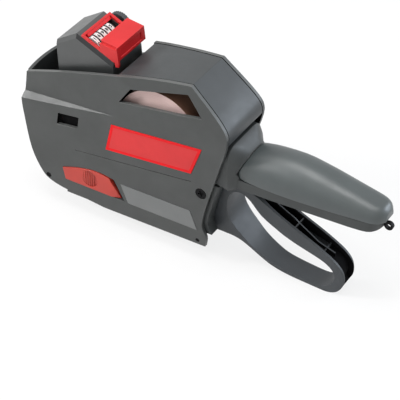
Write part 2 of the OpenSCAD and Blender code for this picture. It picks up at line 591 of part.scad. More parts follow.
module ink_holder() color("Black") place() {
    both() side(ink_hw + 0.3, ink_hw + 1.9) difference() {
        union() {
            translate(ink_pin) circle(d = 8);
            translate(ink_at) circle(d = 7);
            polygon([ink_pin + [-3.8, 0], ink_at + [-3.5, 0], ink_at + [3.5, 0.6], ink_pin + [3.8, 0.6]]);
        }
        translate(ink_pin) circle(d = hinge_d + 2 * fit);
        translate(ink_at) circle(d = hinge_d);
    }
    difference() {
        rod(ink_pin, 7, -ink_hw - 0.4, ink_hw + 0.4);
        rod(ink_pin, hinge_d + 2 * fit, -40, 40);
    }
    rod(ink_at, hinge_d, -ink_hw - 1.9, ink_hw + 1.9);
}
module ink_axle() color("Silver") place() rod(ink_pin, hinge_d, -in_w - 1, in_w + 1);
module ink_roller() color("Black") place() difference() {
    rod(ink_at, ink_d, -ink_hw, ink_hw);
    rod(ink_at, hinge_d + 2 * fit, -40, 40);
}

// ---- Label roll and web ----
module roll_core() color("BurlyWood") place() difference() {
    rod(roll_at, core_bore + 2 * core_wall, -label_w / 2, label_w / 2);
    rod(roll_at, core_bore, -40, 40);
}
module label_roll() color("MistyRose") place() difference() {
    rod(roll_at, roll_d, -label_w / 2, label_w / 2);
    rod(roll_at, core_bore + 2 * core_wall + 0.04, -40, 40);
}
web_x = roll_at[0] - roll_d / 2 - gap;
module label_web() color("White") place() side(-label_w / 2, label_w / 2)
    polygon(ribbon(smooth([[web_x, roll_at[1]], [web_x - 1.6, zb + 54], [web_x - 6.5, zb + 36],
        [platen_x + 18, platen_z + 2.4], [platen_x + 12, platen_z + 0.6]]), -web_t));
module label_strip() color("White") place() side(-label_w / 2, label_w / 2)
    polygon(ribbon(concat([[platen_x + 11.6, platen_z + 0.2], [peel_x + 0.6, platen_z + 0.2]],
        smooth([[peel_x, platen_z], [peel_x - 1.2, zb + 6.5], [peel_x - 0.2, zb + 4.4], [peel_x + 1.6, zb + 4.9],
            [peel_x + 6, zb + 8.4], [feed_pin[0] - 22, zb + 10], [feed_pin[0] - 4, nip_z]]),
        [[feed_pin[0] + 6, nip_z]],
        smooth([[feed_pin[0] + 12, nip_z - 0.6], [feed_pin[0] + 40, zb + 5.5]])), -web_t));
peel_x = platen_x - platen_front - 1.2;
nip_z = feed_pin[1] - feed_d / 2 - gap;

// ---- Feed ----
module feed_drum() color("DimGray") place() difference() {
    union() {
        rod(feed_pin, feed_d, -label_w / 2 + 5, label_w / 2 - 5);
        rod(feed_pin, feed_d - 4, -label_w / 2 + 1, label_w / 2 - 1);
    }
    rod(feed_pin, axle_d + 2 * fit, -40, 40);
    for (a = [0 : 60 : 359]) side(-40, 40) translate(feed_pin) rotate(a) translate([feed_d / 4 + 0.4, 0])
        circle(d = feed_d / 6);
    both() side(5, 7) translate(feed_pin) difference() {
        circle(d = feed_d + 2);
        circle(d = feed_d - 1.6);
    }
}
module ratchet_wheel() color("Silver") place() difference() {
    side(label_w / 2 - 0.6, label_w / 2 + 0.6) translate(feed_pin) polygon([for (i = [0 : ratchet_teeth - 1])
        for (k = [0, 1]) (k == 0 ? feed_d / 2 - 3.4 : feed_d / 2 - 1) *
            [cos((i + k * 0.15) * 360 / ratchet_teeth), sin((i + k * 0.15) * 360 / ratchet_teeth)]]);
    rod(feed_pin, axle_d + 2 * fit, -40, 40);
}
module feed_axle() color("Silver") place() rod(feed_pin, axle_d, -in_w - 1, in_w + 1);
press_d = 9.4;
press_at = [feed_pin[0], nip_z - web_t - gap / 2 - press_d / 2];
module press_roller() color("Black") place() difference() {
    rod(press_at, press_d, -label_w / 2 + 1, label_w / 2 - 1);
    rod(press_at, hinge_d + 2 * fit, -40, 40);
}
module press_axle() color("Silver") place() rod(press_at, hinge_d, -base_wall1 + 0.05, base_wall1 - 0.05);

// ---- Hinged base ----
base_wall0 = label_w / 2 + 0.3;
base_wall1 = base_wall0 + 1;
base_x0 = 31;
base_x1 = base_pin[0];
module base_cover() color("DimGray") place() difference() {
    union() {
        translate([base_x0, -mid_w + 0.3, zb - 1.7])
            cube([base_x1 - base_x0, 2 * mid_w - 0.6, base_floor - zb + 1.7]);
        both() side(base_wall0, base_wall1) {
            translate([base_x0, base_floor - 0.1]) square([base_x1 - base_x0 - 5, 6]);
            polygon([[peel_x, base_floor], [platen_x + 11.4, base_floor], [platen_x + 11.4, platen_z],
                [peel_x + 0.6, platen_z]]);
            translate(press_at) circle(r = 4);
        }
        both() rod(base_pin, 7.6, base_wall0, base_wall1);
        both() side(base_wall0, base_wall1) polygon([base_pin + [-12, -4], base_pin + [0, -4],
            base_pin + [0, 3.8], base_pin + [-12, 2]]);
    }
    rod(base_pin, hinge_d + 2 * fit, -40, 40);
    both() rod(press_at, hinge_d, 0, 40);
    translate([base_x1 - 14, -trigger_w / 2 - 1.4, zb - 4]) cube([40, trigger_w + 2.8, 12]);
}
module base_hinge_pin() color("Silver") place() rod(base_pin, hinge_d, -hw + 0.5, hw - 0.5);
module platen() color("Silver") place() difference() {
    translate([platen_x - platen_front, -base_wall0 + 0.02, platen_z - 2.4])
        cube([11 + platen_front, 2 * base_wall0 - 0.04, 2.4]);
    for (i = [0 : 3]) translate([platen_x + 6 + 1.2 * i, -base_wall0 + 2, platen_z - 0.4])
        cube([0.5, 2 * base_wall0 - 4, 1]);
}
module peel_plate() color("Silver") place() side(-base_wall0 + 0.02, base_wall0 - 0.02)
    polygon([[platen_x - platen_front, platen_z - 0.1], [platen_x - platen_front - 0.6, platen_z - 0.1],
        [peel_x - 0.2, zb + 6.3], [peel_x + 0.6, zb + 5.9], [platen_x - platen_front, platen_z - 2.8]]);
module applicator_roller() color("Black") place() difference() {
    union() {
        rod(app_pin, applicator_d, -label_w / 2 + 1, label_w / 2 - 1);
        rod(app_pin, axle_d + 3, -in_w + 0.6, in_w - 0.6);
    }
    rod(app_pin, axle_d + 2 * fit, -40, 40);
    for (i = [-3 : 3]) side(i * 4.8 - 0.7, i * 4.8 + 0.7) translate(app_pin) difference() {
        circle(d = applicator_d + 2);
        circle(d = applicator_d - 2);
    }
}
module applicator_axle() color("Silver") place() rod(app_pin, axle_d, -hw + 0.5, hw - 0.5);

// ---- Latch ----
thumb = latch_at + [latch_len * 0.48, latch_h * 0.52];
dish_r = 6.4;
dish_depth = 2;         // of the thumb recess at its rear
dish_tilt = atan(dish_depth / (2 * dish_r));
rib_h = 0.5;
rear_bevel = 6.5;       // length of the bevel at the button's rear
module latch_button() color("Red") place() difference() {
    side(-hw - 0.4, -in_w + gap) translate(latch_at) polygon(latch_outline(0));
    // Thumb recess, deepest at its rear, with upright grip ribs on its floor
    translate([thumb[0], -hw - 0.4, thumb[1]]) rotate([0, 0, dish_tilt]) difference() {
        side(-5, dish_depth / 2) circle(r = dish_r);
        for (i = [0 : latch_ribs - 1]) translate([(i + 0.5) / latch_ribs * 1.5 * dish_r - dish_r,
            dish_depth / 2 - rib_h, -dish_r]) cube([0.6, 2, 2 * dish_r]);
    }
    translate([latch_at[0] + latch_len - rear_bevel, -hw - 0.4, latch_at[1] - 2]) rotate([0, 0, 17])
        translate([0, -6, 0]) cube([2 * rear_bevel, 6, latch_h + 6]);
}
module latch_slide() color("DimGray") place() difference() {
    side(-mid_w, -base_wall1 - gap) translate(latch_at) polygon([[-2, -1], [latch_len + 0.5, -1],
        [latch_len + 0.5, 12], [-2, 12]]);
}
left_shell();
right_shell();
badge_plate();
stripe_plate();
nose_cover();
roll_cover();
cover_pin();
handle_frame();
hanging_eye();
grip_cover();
trigger();
pivot_pin();
pivot_screws();
return_spring();
head_arms();
arm_rods();
head_frame();
head_cover();
bezel();
wheel_tube();
setting_shaft();
setting_knob();
type_band(0);  // type_band_1
type_band(1);  // type_band_2
type_band(2);  // type_band_3
type_band(3);  // type_band_4
type_band(4);  // type_band_5
number_wheel(0);  // number_wheel_1
number_wheel(1);  // number_wheel_2
number_wheel(2);  // number_wheel_3
number_wheel(3);  // number_wheel_4
number_wheel(4);  // number_wheel_5
ink_holder();
ink_axle();
ink_roller();
roll_core();
label_roll();
label_web();
label_strip();
feed_drum();
ratchet_wheel();
feed_axle();
press_roller();
press_axle();
base_cover();
base_hinge_pin();
platen();
peel_plate();
applicator_roller();
applicator_axle();
latch_button();
latch_slide();
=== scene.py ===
import math

import bmesh
import bpy
from mathutils import Matrix, Vector


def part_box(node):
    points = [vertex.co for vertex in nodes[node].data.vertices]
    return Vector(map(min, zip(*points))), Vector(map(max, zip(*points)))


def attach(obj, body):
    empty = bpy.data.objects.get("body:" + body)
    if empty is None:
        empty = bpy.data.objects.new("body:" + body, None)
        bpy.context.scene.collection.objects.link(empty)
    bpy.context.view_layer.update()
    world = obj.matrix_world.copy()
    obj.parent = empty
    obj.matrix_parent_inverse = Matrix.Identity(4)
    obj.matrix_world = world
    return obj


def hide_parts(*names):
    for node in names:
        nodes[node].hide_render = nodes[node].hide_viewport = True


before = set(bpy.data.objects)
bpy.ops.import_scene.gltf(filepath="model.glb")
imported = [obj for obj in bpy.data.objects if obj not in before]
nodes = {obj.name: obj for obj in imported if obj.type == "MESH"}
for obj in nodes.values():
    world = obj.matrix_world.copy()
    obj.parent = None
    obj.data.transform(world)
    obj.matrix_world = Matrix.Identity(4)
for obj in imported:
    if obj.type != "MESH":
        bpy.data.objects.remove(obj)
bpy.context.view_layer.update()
MM = 0.001

# ---------------------------------------------------------------- materials
EDGE_WEAR_AND_HIGHLIGHT_REACH = 0.7 * MM     # how far an edge's rubbed band and painted highlight spread
SEAM_REACH = 1.1 * MM     # how wide a seam or recess may be to get painted shade
SEAM_SHADE_TONE = 0.22         # share of a plastic's own colour that its painted seam shade keeps
PLASTIC_GRAIN = 0.02 * MM  # heights of the finest relief
STEEL_GRAIN = 0.01 * MM
SOFT_GRAIN = 0.03 * MM


class Shade:
    """One procedural material: object coordinates in millimetres feed every texture."""

    def __init__(self, name):
        self.mat = bpy.data.materials.new(name)
        self.mat.use_nodes = True
        self.tree = self.mat.node_tree
        self.nodes = self.tree.nodes
        self.bsdf = self.nodes["Principled BSDF"]
        coord = self.nodes.new("ShaderNodeTexCoord")
        scale = self.nodes.new("ShaderNodeMapping")
        scale.inputs["Scale"].default_value = (1 / MM, 1 / MM, 1 / MM)
        self.link(coord.outputs["Object"], scale.inputs["Vector"])
        self.mm = scale.outputs["Vector"]

    def link(self, a, b):
        self.tree.links.new(a, b)

    def noise(self, scale, detail, rough, vector=None):
        n = self.nodes.new("ShaderNodeTexNoise")
        n.inputs["Scale"].default_value = scale
        n.inputs["Detail"].default_value = detail
        n.inputs["Roughness"].default_value = rough
        self.link(vector or self.mm, n.inputs["Vector"])
        return n.outputs["Fac"]

    def fit(self, value, lo, hi, out_lo, out_hi):
        """A value that goes from out_lo at lo to out_hi at hi, and no further."""
        n = self.nodes.new("ShaderNodeMapRange")
        self.link(value, n.inputs["Value"])
        for key, v in (("From Min", lo), ("From Max", hi), ("To Min", out_lo), ("To Max", out_hi)):
            n.inputs[key].default_value = v
        return n.outputs["Result"]

    def math(self, op, a, b):
        n = self.nodes.new("ShaderNodeMath")
        n.operation = op
        for i, v in enumerate((a, b)):
            if isinstance(v, (int, float)):
                n.inputs[i].default_value = v
            else:
                self.link(v, n.inputs[i])
        return n.outputs[0]

    def mix(self, fac, a, b):
        """From colour a to colour b, each of them a tuple or a node's output."""
        n = self.nodes.new("ShaderNodeMix")
        n.data_type = "RGBA"
        self.link(fac, n.inputs[0])
        for i, v in ((6, a), (7, b)):
            if isinstance(v, tuple):
                n.inputs[i].default_value = (*v, 1)
            else:
                self.link(v, n.inputs[i])
        return n.outputs[2]

    def rounded_normal(self, radius):
        """The surface's normal, as if its edges were rounded to a radius."""
        n = self.nodes.new("ShaderNodeBevel")
        n.samples = 4
        n.inputs["Radius"].default_value = radius
        return n.outputs["Normal"]

    def worn_edges(self):
        """0 on faces, up to 1 along convex and concave edges: the mask for rubbed edges and painted edge
        highlights.
        """
        g = self.nodes.new("ShaderNodeNewGeometry")
        d = self.nodes.new("ShaderNodeVectorMath")
        d.operation = "DOT_PRODUCT"
        self.link(self.rounded_normal(EDGE_WEAR_AND_HIGHLIGHT_REACH), d.inputs[0])
        self.link(g.outputs["Normal"], d.inputs[1])
        return self.fit(d.outputs["Value"], 0.995, 0.80, 0.0, 1.0)

    def seams(self):
        """0 in the open, up to 1 deep in a seam or recess, where shade is painted into the colour."""
        a = self.nodes.new("ShaderNodeAmbientOcclusion")
        a.samples = 6
        a.inputs["Distance"].default_value = SEAM_REACH
        return self.fit(a.outputs["AO"], 0.80, 0.30, 0.0, 1.0)

    def from_axis(self, x, z):
        """A texture vector that depends only on the distance from an axis along y, for rings."""
        sep = self.nodes.new("ShaderNodeSeparateXYZ")
        self.link(self.mm, sep.inputs[0])
        dx = self.math("SUBTRACT", sep.outputs["X"], x / MM)
        dz = self.math("SUBTRACT", sep.outputs["Z"], z / MM)
        square = self.math("ADD", self.math("MULTIPLY", dx, dx), self.math("MULTIPLY", dz, dz))
        comb = self.nodes.new("ShaderNodeCombineXYZ")
        self.link(self.math("POWER", square, 0.5), comb.inputs["X"])
        return comb.outputs[0]

    def bump(self, height, strength, distance, under=None):
        n = self.nodes.new("ShaderNodeBump")
        n.inputs["Strength"].default_value = strength
        n.inputs["Distance"].default_value = distance
        self.link(height, n.inputs["Height"])
        if under is not None:
            self.link(under, n.inputs["Normal"])
        self.link(n.outputs["Normal"], self.bsdf.inputs["Normal"])


def times(colour, factor, plus=0.0):
    return tuple(min(1, c * factor + plus) for c in colour)


def moulded(name, colour, rough=0.5, grain=2.4, grain_depth=0.35, wear=0.35, wear_to=None, spec=0.45,
            patch=0.10, round_edge=0.35, seam_shade=1.0):
    """Injection-moulded plastic: fine spark-eroded grain, slow colour drift, rubbed edges that double as a
    painted edge highlight, painted shade in seams.
    """
    s = Shade(name)
    drift = s.noise(0.035, 4.0, 0.6)
    fine = s.noise(grain, 2.0, 0.6)
    dust = s.noise(0.9, 6.0, 0.75)
    light = times(colour, 1 + patch)
    base = s.mix(s.fit(drift, 0.35, 0.65, 0, 1), times(colour, 1 - patch), light)
    base = s.mix(s.fit(dust, 0.62, 0.78, 0.0, 0.18), base, light)
    # edges are lightened both as wear and as a painted highlight
    edge = s.math("MULTIPLY", s.worn_edges(), s.fit(s.noise(0.22, 5.0, 0.7), 0.35, 0.7, 0.25, 1.0))
    base = s.mix(s.math("MULTIPLY", edge, wear), base, wear_to or times(colour, 1.5, 0.02))
    # painted shade: seams and recesses are darkened by ambient occlusion
    if seam_shade:
        base = s.mix(s.math("MULTIPLY", s.seams(), seam_shade), base, times(colour, SEAM_SHADE_TONE))
    s.link(base, s.bsdf.inputs["Base Color"])
    r = s.fit(s.noise(0.08, 5.0, 0.65), 0.3, 0.7, rough - 0.06, rough + 0.07)
    r = s.math("SUBTRACT", r, s.math("MULTIPLY", edge, 0.10))
    s.link(r, s.bsdf.inputs["Roughness"])
    s.bsdf.inputs["Specular IOR Level"].default_value = spec
    s.bump(fine, grain_depth, PLASTIC_GRAIN, s.rounded_normal(round_edge * MM))
    return s.mat


def red(name, colour, seam_shade=0.3, **more):
    """The red plastics have a coarser, shallower grain than the grey ones and get less painted seam shade."""
    return moulded(name, colour, grain=1.8, grain_depth=0.3, seam_shade=seam_shade, **more)


def metal(name, colour, rough=0.32):
    """Steel: fine grain, slightly uneven tone."""
    s = Shade(name)
    grain = s.noise(3.0, 3.0, 0.6)
    tone = s.fit(s.noise(0.12, 4.0, 0.6), 0.3, 0.7, 0, 1)
    s.link(s.mix(tone, times(colour, 0.82), colour), s.bsdf.inputs["Base Color"])
    s.bsdf.inputs["Metallic"].default_value = 1.0
    s.link(s.fit(grain, 0.3, 0.7, rough - 0.08, rough + 0.1), s.bsdf.inputs["Roughness"])
    s.bump(grain, 0.25, STEEL_GRAIN)
    return s.mat


def paper(name, colour, shade, rough=0.75, roll_axis=None):
    """Paper or card in two tones; a wound web shows rings about roll_axis, given as x and z."""
    s = Shade(name)
    fibre = s.noise(1.6, 6.0, 0.7)
    base = s.mix(s.fit(s.noise(0.06, 4.0, 0.6), 0.3, 0.7, 0, 1), colour, shade)
    height = fibre
    if roll_axis:
        wound = s.noise(1.7, 3.0, 0.7, s.from_axis(*roll_axis))
        base = s.mix(s.fit(wound, 0.35, 0.65, 0.0, 0.55), base, times(shade, 0.72))
        height = wound
    s.link(base, s.bsdf.inputs["Base Color"])
    s.link(s.fit(fibre, 0.3, 0.7, rough - 0.05, rough + 0.08), s.bsdf.inputs["Roughness"])
    s.bsdf.inputs["Specular IOR Level"].default_value = 0.3
    s.bump(height, 0.3, SOFT_GRAIN)
    return s.mat


def rubber(name, colour, rough=0.72):
    """Rubber or felt: dull, with pale dust."""
    s = Shade(name)
    dust = s.noise(0.5, 6.0, 0.75)
    dusty = s.mix(s.fit(dust, 0.4, 0.75, 0.0, 0.5), colour, times(colour, 1.8, 0.01))
    s.link(dusty, s.bsdf.inputs["Base Color"])
    s.link(s.fit(dust, 0.3, 0.7, rough - 0.08, rough + 0.1), s.bsdf.inputs["Roughness"])
    s.bsdf.inputs["Specular IOR Level"].default_value = 0.35
    s.bump(s.noise(1.9, 4.0, 0.65), 0.35, SOFT_GRAIN)
    return s.mat


roll_lo, roll_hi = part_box("label_roll")
roll_mid = (roll_lo + roll_hi) / 2
FINISH = {
    # the shells' strong edge lightening is partly a painted highlight along their rims
    "shell": moulded("shell_grey", (0.052, 0.055, 0.054), rough=0.44, wear=0.7, wear_to=(0.15, 0.155, 0.15)),
    # painted highlight: a lighter grey for the shells' top rims
    "rim_highlight": moulded("rim_highlight_grey", (0.088, 0.092, 0.090), rough=0.42, wear=0.7, wear_to=(0.17, 0.175, 0.17)),
    "cover": moulded("cover_grey", (0.036, 0.040, 0.042), rough=0.42, spec=0.5),
    "frame": moulded("frame_grey", (0.034, 0.038, 0.038), rough=0.44, spec=0.5),
    "lever": moulded("lever_grey", (0.041, 0.046, 0.051), rough=0.43, spec=0.42),
    "grip": moulded("grip_grey", (0.047, 0.058, 0.059), rough=0.41, spec=0.8, grain=3.0, grain_depth=0.25),
    "head": moulded("head_grey", (0.036, 0.039, 0.039), rough=0.36, spec=1.0),
    # painted shade for the head cover's chamfer
    "head_edge_shade": moulded("head_edge_shade_grey", (0.016, 0.017, 0.018), spec=0.4, wear=0.15),
    "black": moulded("black_plastic", (0.010, 0.010, 0.011), wear=0.2),
    # painted shade: near black for interior faces and parts seen through openings
    "inside_shade": moulded("inside_shade_black", (0.0045, 0.0045, 0.005), rough=0.75, wear=0.15, spec=0.05),
    "knob": moulded("knob_grey", (0.045, 0.046, 0.049)),
    "red": red("red_plastic", (0.70, 0.008, 0.012), rough=0.40, wear=0.25, wear_to=(0.80, 0.06, 0.05),
               patch=0.06, spec=0.14),
    "head_red": red("head_red", (0.60, 0.030, 0.032), rough=0.42, wear=0.3, wear_to=(0.80, 0.14, 0.13),
                    patch=0.06, spec=0.25),
    # painted shade: a darker red for the bezel's faces turned away from the camera
    "shaded_red": red("shaded_red", (0.40, 0.008, 0.010), rough=0.46, wear=0.3, wear_to=(0.62, 0.05, 0.05),
                    spec=0.12, seam_shade=0.5),
    "latch": red("latch_red", (0.44, 0.036, 0.023), rough=0.34, wear=0.4, wear_to=(0.74, 0.16, 0.10)),
    "stripe": moulded("stripe_grey", (0.155, 0.161, 0.160), wear=0.2, patch=0.05),
    "white": moulded("wheel_white", (0.94, 0.94, 0.92), rough=0.42, wear=0.2, wear_to=(0.9, 0.9, 0.88),
                     patch=0.04, round_edge=0.15, seam_shade=0),
    "print": moulded("digit_ink", (0.015, 0.015, 0.016), rough=0.6, wear=0.1, round_edge=0.05, seam_shade=0),
    "steel": metal("steel", (0.50, 0.50, 0.49)),
    "dark_steel": metal("dark_steel", (0.016, 0.016, 0.017), rough=0.5),
    "band": rubber("band_rubber", (0.014, 0.014, 0.014)),
    "roller": rubber("roller_rubber", (0.020, 0.020, 0.020)),
    "ink": rubber("ink_felt", (0.012, 0.012, 0.03), rough=0.85),
    "card": paper("card", (0.42, 0.30, 0.18), (0.36, 0.25, 0.15)),
    "web": paper("web_paper", (0.80, 0.74, 0.71), (0.76, 0.69, 0.66)),
    "roll": paper("roll_paper", (0.80, 0.60, 0.565), (0.73, 0.52, 0.49), roll_axis=(roll_mid.x, roll_mid.z)),
    # a darker brown for the roll's round faces
    "roll_round_side": paper("roll_round_side_brown", (0.30, 0.15, 0.10), (0.24, 0.12, 0.075), rough=0.6),
}
WHEELS = ["number_wheel_%d" % w for w in range(1, 6)]
BANDS = ["type_band_%d" % w for w in range(1, 6)]
WITH_FINISH = {
    "shell": ["left_shell", "right_shell", "nose_cover", "base_cover"],
    "cover": ["roll_cover"],
    "frame": ["handle_frame"],
    "lever": ["trigger"],
    "grip": ["grip_cover"],
    "head": ["head_cover"],
    "knob": ["setting_knob"],
    "stripe": ["stripe_plate"],
    "red": ["badge_plate"],
    "head_red": ["bezel"],
    "latch": ["latch_button"],
    "black": ["head_frame", "ink_holder", "feed_drum", "latch_slide"],
    # painted shade: the head's arms and rods, seen through the inspection port, are near black
    "inside_shade": ["head_arms", "arm_rods"],
    "white": WHEELS,
    "band": BANDS,
    "ink": ["ink_roller"],
    "roller": ["press_roller", "applicator_roller"],
    "roll": ["label_roll"],
    "card": ["roll_core"],
    "web": ["label_web", "label_strip"],
    "dark_steel": ["pivot_screws", "base_hinge_pin", "applicator_axle", "hanging_eye", "pivot_pin",
                   "ratchet_wheel", "feed_axle", "ink_axle", "press_axle"],
}
finish_of = {name: finish for finish, names in WITH_FINISH.items() for name in names}
for name, obj in nodes.items():
    obj.data.materials.clear()
    obj.data.materials.append(FINISH[finish_of.get(name, "steel")])

# ---------------------------------------------------------------- second finishes on some faces
DOWN_SLOPE = Vector((0.908, 0, -0.419))  # along the window's slope of the head cover, down to the grip
OFF_SLOPE = Vector((-DOWN_SLOPE.z, 0, DOWN_SLOPE.x))  # square off that slope
PORT_X, PORT_Z = (-103, -84.5), (68.5, 80.5)  # a box round the inspection port, mm
RIM_FROM = 60 * MM        # the shells' top rims lie above this
CHANNEL_HALF = 6.4 * MM   # the trigger's faces this near its middle plane lie between its walls
RIB_HALF = 0.7 * MM       # and this near, they are on the rib along the channel
RIB_TOP = 13 * MM ** 2    # a cross rib's top edge has less area than this
RIBS_END = 91 * MM        # past this the channel has no cross ribs
WINDOW_HALF = 13 * MM     # the window's walls are this near the middle plane
WINDOW_REACH = 9.4 * MM   # and this near the wheels' axis
wheel_lo, wheel_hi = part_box("number_wheel_3")
wheel_mid = (wheel_lo + wheel_hi) / 2


def second(name, finish, chosen):
    """Another finish on the faces of one node for which chosen(face, mesh) holds."""
    mesh = nodes[name].data
    mesh.materials.append(FINISH[finish])
    for face in mesh.polygons:
        if chosen(face, mesh):
            face.material_index = len(mesh.materials) - 1


def in_channel(face, mesh):
    """The trigger's channel, with the tongue hidden in the housing, but not its ribs' top edges."""
    reach = max(abs(mesh.vertices[v].co.y) for v in face.vertices)
    if reach > CHANNEL_HALF:
        return False
    if face.center.x > RIBS_END and reach > RIB_HALF:
        return True
    upward = abs(face.normal.y) < 0.5 and face.normal.z > 0.3
    return not (upward and (reach < RIB_HALF or face.area < RIB_TOP))


def in_left_shell(face, mesh):
    """The left shell's inner faces and the walls of its inspection port."""
    x, z = face.center.x / MM, face.center.z / MM
    in_port = PORT_X[0] < x < PORT_X[1] and PORT_Z[0] < z < PORT_Z[1]
    return face.normal.y > 0.6 or (in_port and abs(face.normal.y) < 0.3)


def on_rim(face, mesh):
    """A shell's top rim, which gets a painted highlight."""
    return abs(face.normal.y) < 0.3 and face.normal.z > 0.2 and face.center.z > RIM_FROM


def in_window(face, mesh):
    """The walls of the head cover's window over the number wheels."""
    c = face.center - wheel_mid
    wall = abs(face.normal.y) > 0.9 or abs(face.normal.dot(OFF_SLOPE)) < 0.3
    return wall and abs(face.center.y) < WINDOW_HALF and 0 < c.z and math.hypot(c.x, c.z) < WINDOW_REACH


# painted shade: the trigger's channel, the shells' inner faces and the port's walls are near black
second("trigger", "inside_shade", in_channel)
second("left_shell", "inside_shade", in_left_shell)
second("right_shell", "inside_shade", lambda face, mesh: face.normal.y < -0.6)
# painted highlight: the shells' upward-facing top rims get a lighter grey
second("left_shell", "rim_highlight", on_rim)
second("right_shell", "rim_highlight", on_rim)
second("head_cover", "head_red", in_window)
# painted shade: the head cover's chamfer faces get a darker grey
second("head_cover", "head_edge_shade", lambda face, mesh: 0.5 < abs(face.normal.y) < 0.99 and face.normal.x > 0.05)
# painted shade: the bezel's faces turned to +x get a darker red
second("bezel", "shaded_red", lambda face, mesh: face.normal.x > 0.95)
# the roll's round faces are coloured a darker brown
second("label_roll", "roll_round_side", lambda face, mesh: abs(face.normal.y) < 0.5)

# ---------------------------------------------------------------- rounded edges
# Width of each piece's rounded edges in mm; the other pieces keep sharp ones
ROUNDED = {"left_shell": 0.8, "right_shell": 0.8, "roll_cover": 0.6, "head_cover": 0.4, "bezel": 0.35,
           "badge_plate": 0.3, "stripe_plate": 0.12, "trigger": 0.6, "handle_frame": 0.5,
           "nose_cover": 0.4, "latch_button": 0.4, "base_cover": 0.3, "grip_cover": 0.5}
AS_BUILT = ("left_shell", "right_shell", "head_cover", "grip_cover")  # their facets aren't joined
COMMON_CREASE = 38        # a turn of more degrees than this shows as an edge
CREASE = {"handle_frame": 62, "head_cover": 14}
ROUND_ABOVE = 28          # a turn of more degrees than this is rounded
JOIN_BELOW = 0.6          # facets that meet at fewer degrees than this become one face
WELD = 0.003 * MM         # points that are closer than this become one


def soften(obj, width, crease=COMMON_CREASE, flatten=True, weighted=True):
    """Rounds a piece's edges to a width in mm and shades its curves smooth, by modifiers only."""
    me = obj.data
    if "custom_normal" in me.attributes:
        me.attributes.remove(me.attributes["custom_normal"])
    me.polygons.foreach_set("use_smooth", [True] * len(me.polygons))
    weld = obj.modifiers.new("weld", "WELD")
    weld.merge_threshold = WELD
    if width and flatten:
        flat = obj.modifiers.new("flat", "DECIMATE")
        flat.decimate_type = "DISSOLVE"
        flat.angle_limit = math.radians(JOIN_BELOW)
    if width:
        bevel = obj.modifiers.new("bevel", "BEVEL")
        bevel.width = width * MM
        bevel.segments = 2
        bevel.limit_method = "ANGLE"
        bevel.angle_limit = math.radians(ROUND_ABOVE)
        bevel.miter_outer = "MITER_ARC"
    cut = obj.modifiers.new("split", "EDGE_SPLIT")
    cut.split_angle = math.radians(crease)
    if weighted:
        even = obj.modifiers.new("even", "WEIGHTED_NORMAL")
        even.keep_sharp = True
        even.weight = 60


# Weighted normals would show the facets of the grip cover's long curves
for name, obj in nodes.items():
    soften(obj, ROUNDED.get(name, 0), CREASE.get(name, COMMON_CREASE), flatten=name not in AS_BUILT,
           weighted=name != "grip_cover")
# The rounded edge round the grip cover's foot is painted black as the shade in its seam
nodes["grip_cover"].data.materials.append(FINISH["black"])
nodes["grip_cover"].modifiers["bevel"].material = 1


def new_object(name, data):
    obj = bpy.data.objects.new(name, data)
    bpy.context.scene.collection.objects.link(obj)
    return obj


# ---------------------------------------------------------------- badge with a raised rim
BADGE_RIM = 1.5 * MM      # width of the plain rim
BADGE_STEP = 0.55 * MM    # width of the slope down to the field
BADGE_DEPTH = 0.28 * MM   # how deep the field lies
bm = bmesh.new()
bm.from_mesh(nodes["badge_plate"].data)
bmesh.ops.remove_doubles(bm, verts=bm.verts, dist=WELD)
bmesh.ops.dissolve_limit(bm, angle_limit=math.radians(JOIN_BELOW), verts=bm.verts, edges=bm.edges)
field = min(bm.faces, key=lambda face: face.normal.y * face.calc_area())  # at first, all of the outer face
bmesh.ops.inset_region(bm, faces=[field], thickness=BADGE_RIM, use_even_offset=True)
bmesh.ops.inset_region(bm, faces=[field], thickness=BADGE_STEP, depth=-BADGE_DEPTH, use_even_offset=True)
field.material_index = 1
badge_mesh = bpy.data.meshes.new("badge_face")
bm.to_mesh(badge_mesh)
bm.free()
badge = new_object("badge_face", badge_mesh)
badge_mesh.materials.append(FINISH["red"])
badge_mesh.materials.append(FINISH["head_red"])
soften(badge, 0.3)
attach(badge, "housing")
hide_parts("badge_plate")

# ---------------------------------------------------------------- lip from the window's rim to the wheels
# Its section's corners, as mm down and off the slope from the wheels' axis
LIP = [(-5.9, 8.45), (-3.7, 7.15), (-3.9, 6.85), (-5.9, 6.2)]
LIP_FROM, LIP_TO = -11.6 * MM, 14.2 * MM
LIP_FACES = [(0, 1, 2, 3), (7, 6, 5, 4), (4, 5, 1, 0), (5, 6, 2, 1), (6, 7, 3, 2), (7, 4, 0, 3)]
lip_points = [wheel_mid + DOWN_SLOPE * (s * MM) + OFF_SLOPE * (n * MM) + Vector((0, y - wheel_mid.y, 0))
              for y in (LIP_TO, LIP_FROM) for s, n in LIP]
lip_mesh = bpy.data.meshes.new("bezel_lip")
lip_mesh.from_pydata(lip_points, [], LIP_FACES)
lip = new_object("bezel_lip", lip_mesh)
lip_mesh.materials.append(FINISH["red"])
soften(lip, 0.12)
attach(lip, "print_head")

# ---------------------------------------------------------------- digits on the number wheels
FIGURE = 3.4 * MM         # type size
FIGURE_HALF = 0.03 * MM   # half thickness
FIGURE_BOLD = 0.17 * MM   # how much every stroke is fattened
FIGURE_OFF = 0.01 * MM    # from the wheel's rim to the middle of the thickness
FIGURE_WELD = 0.002 * MM
CUT = 0.5 * MM            # level cuts let long strokes follow the wheel's rim
BAND_GAP = 0.3 * MM       # from the figures' strip of the rim to the type band
TENTH = math.radians(36)  # from one figure to the next
FACING = math.radians(68)  # where round the wheels the price shows
SHOWN = (1, 6, 9, 8, 5)


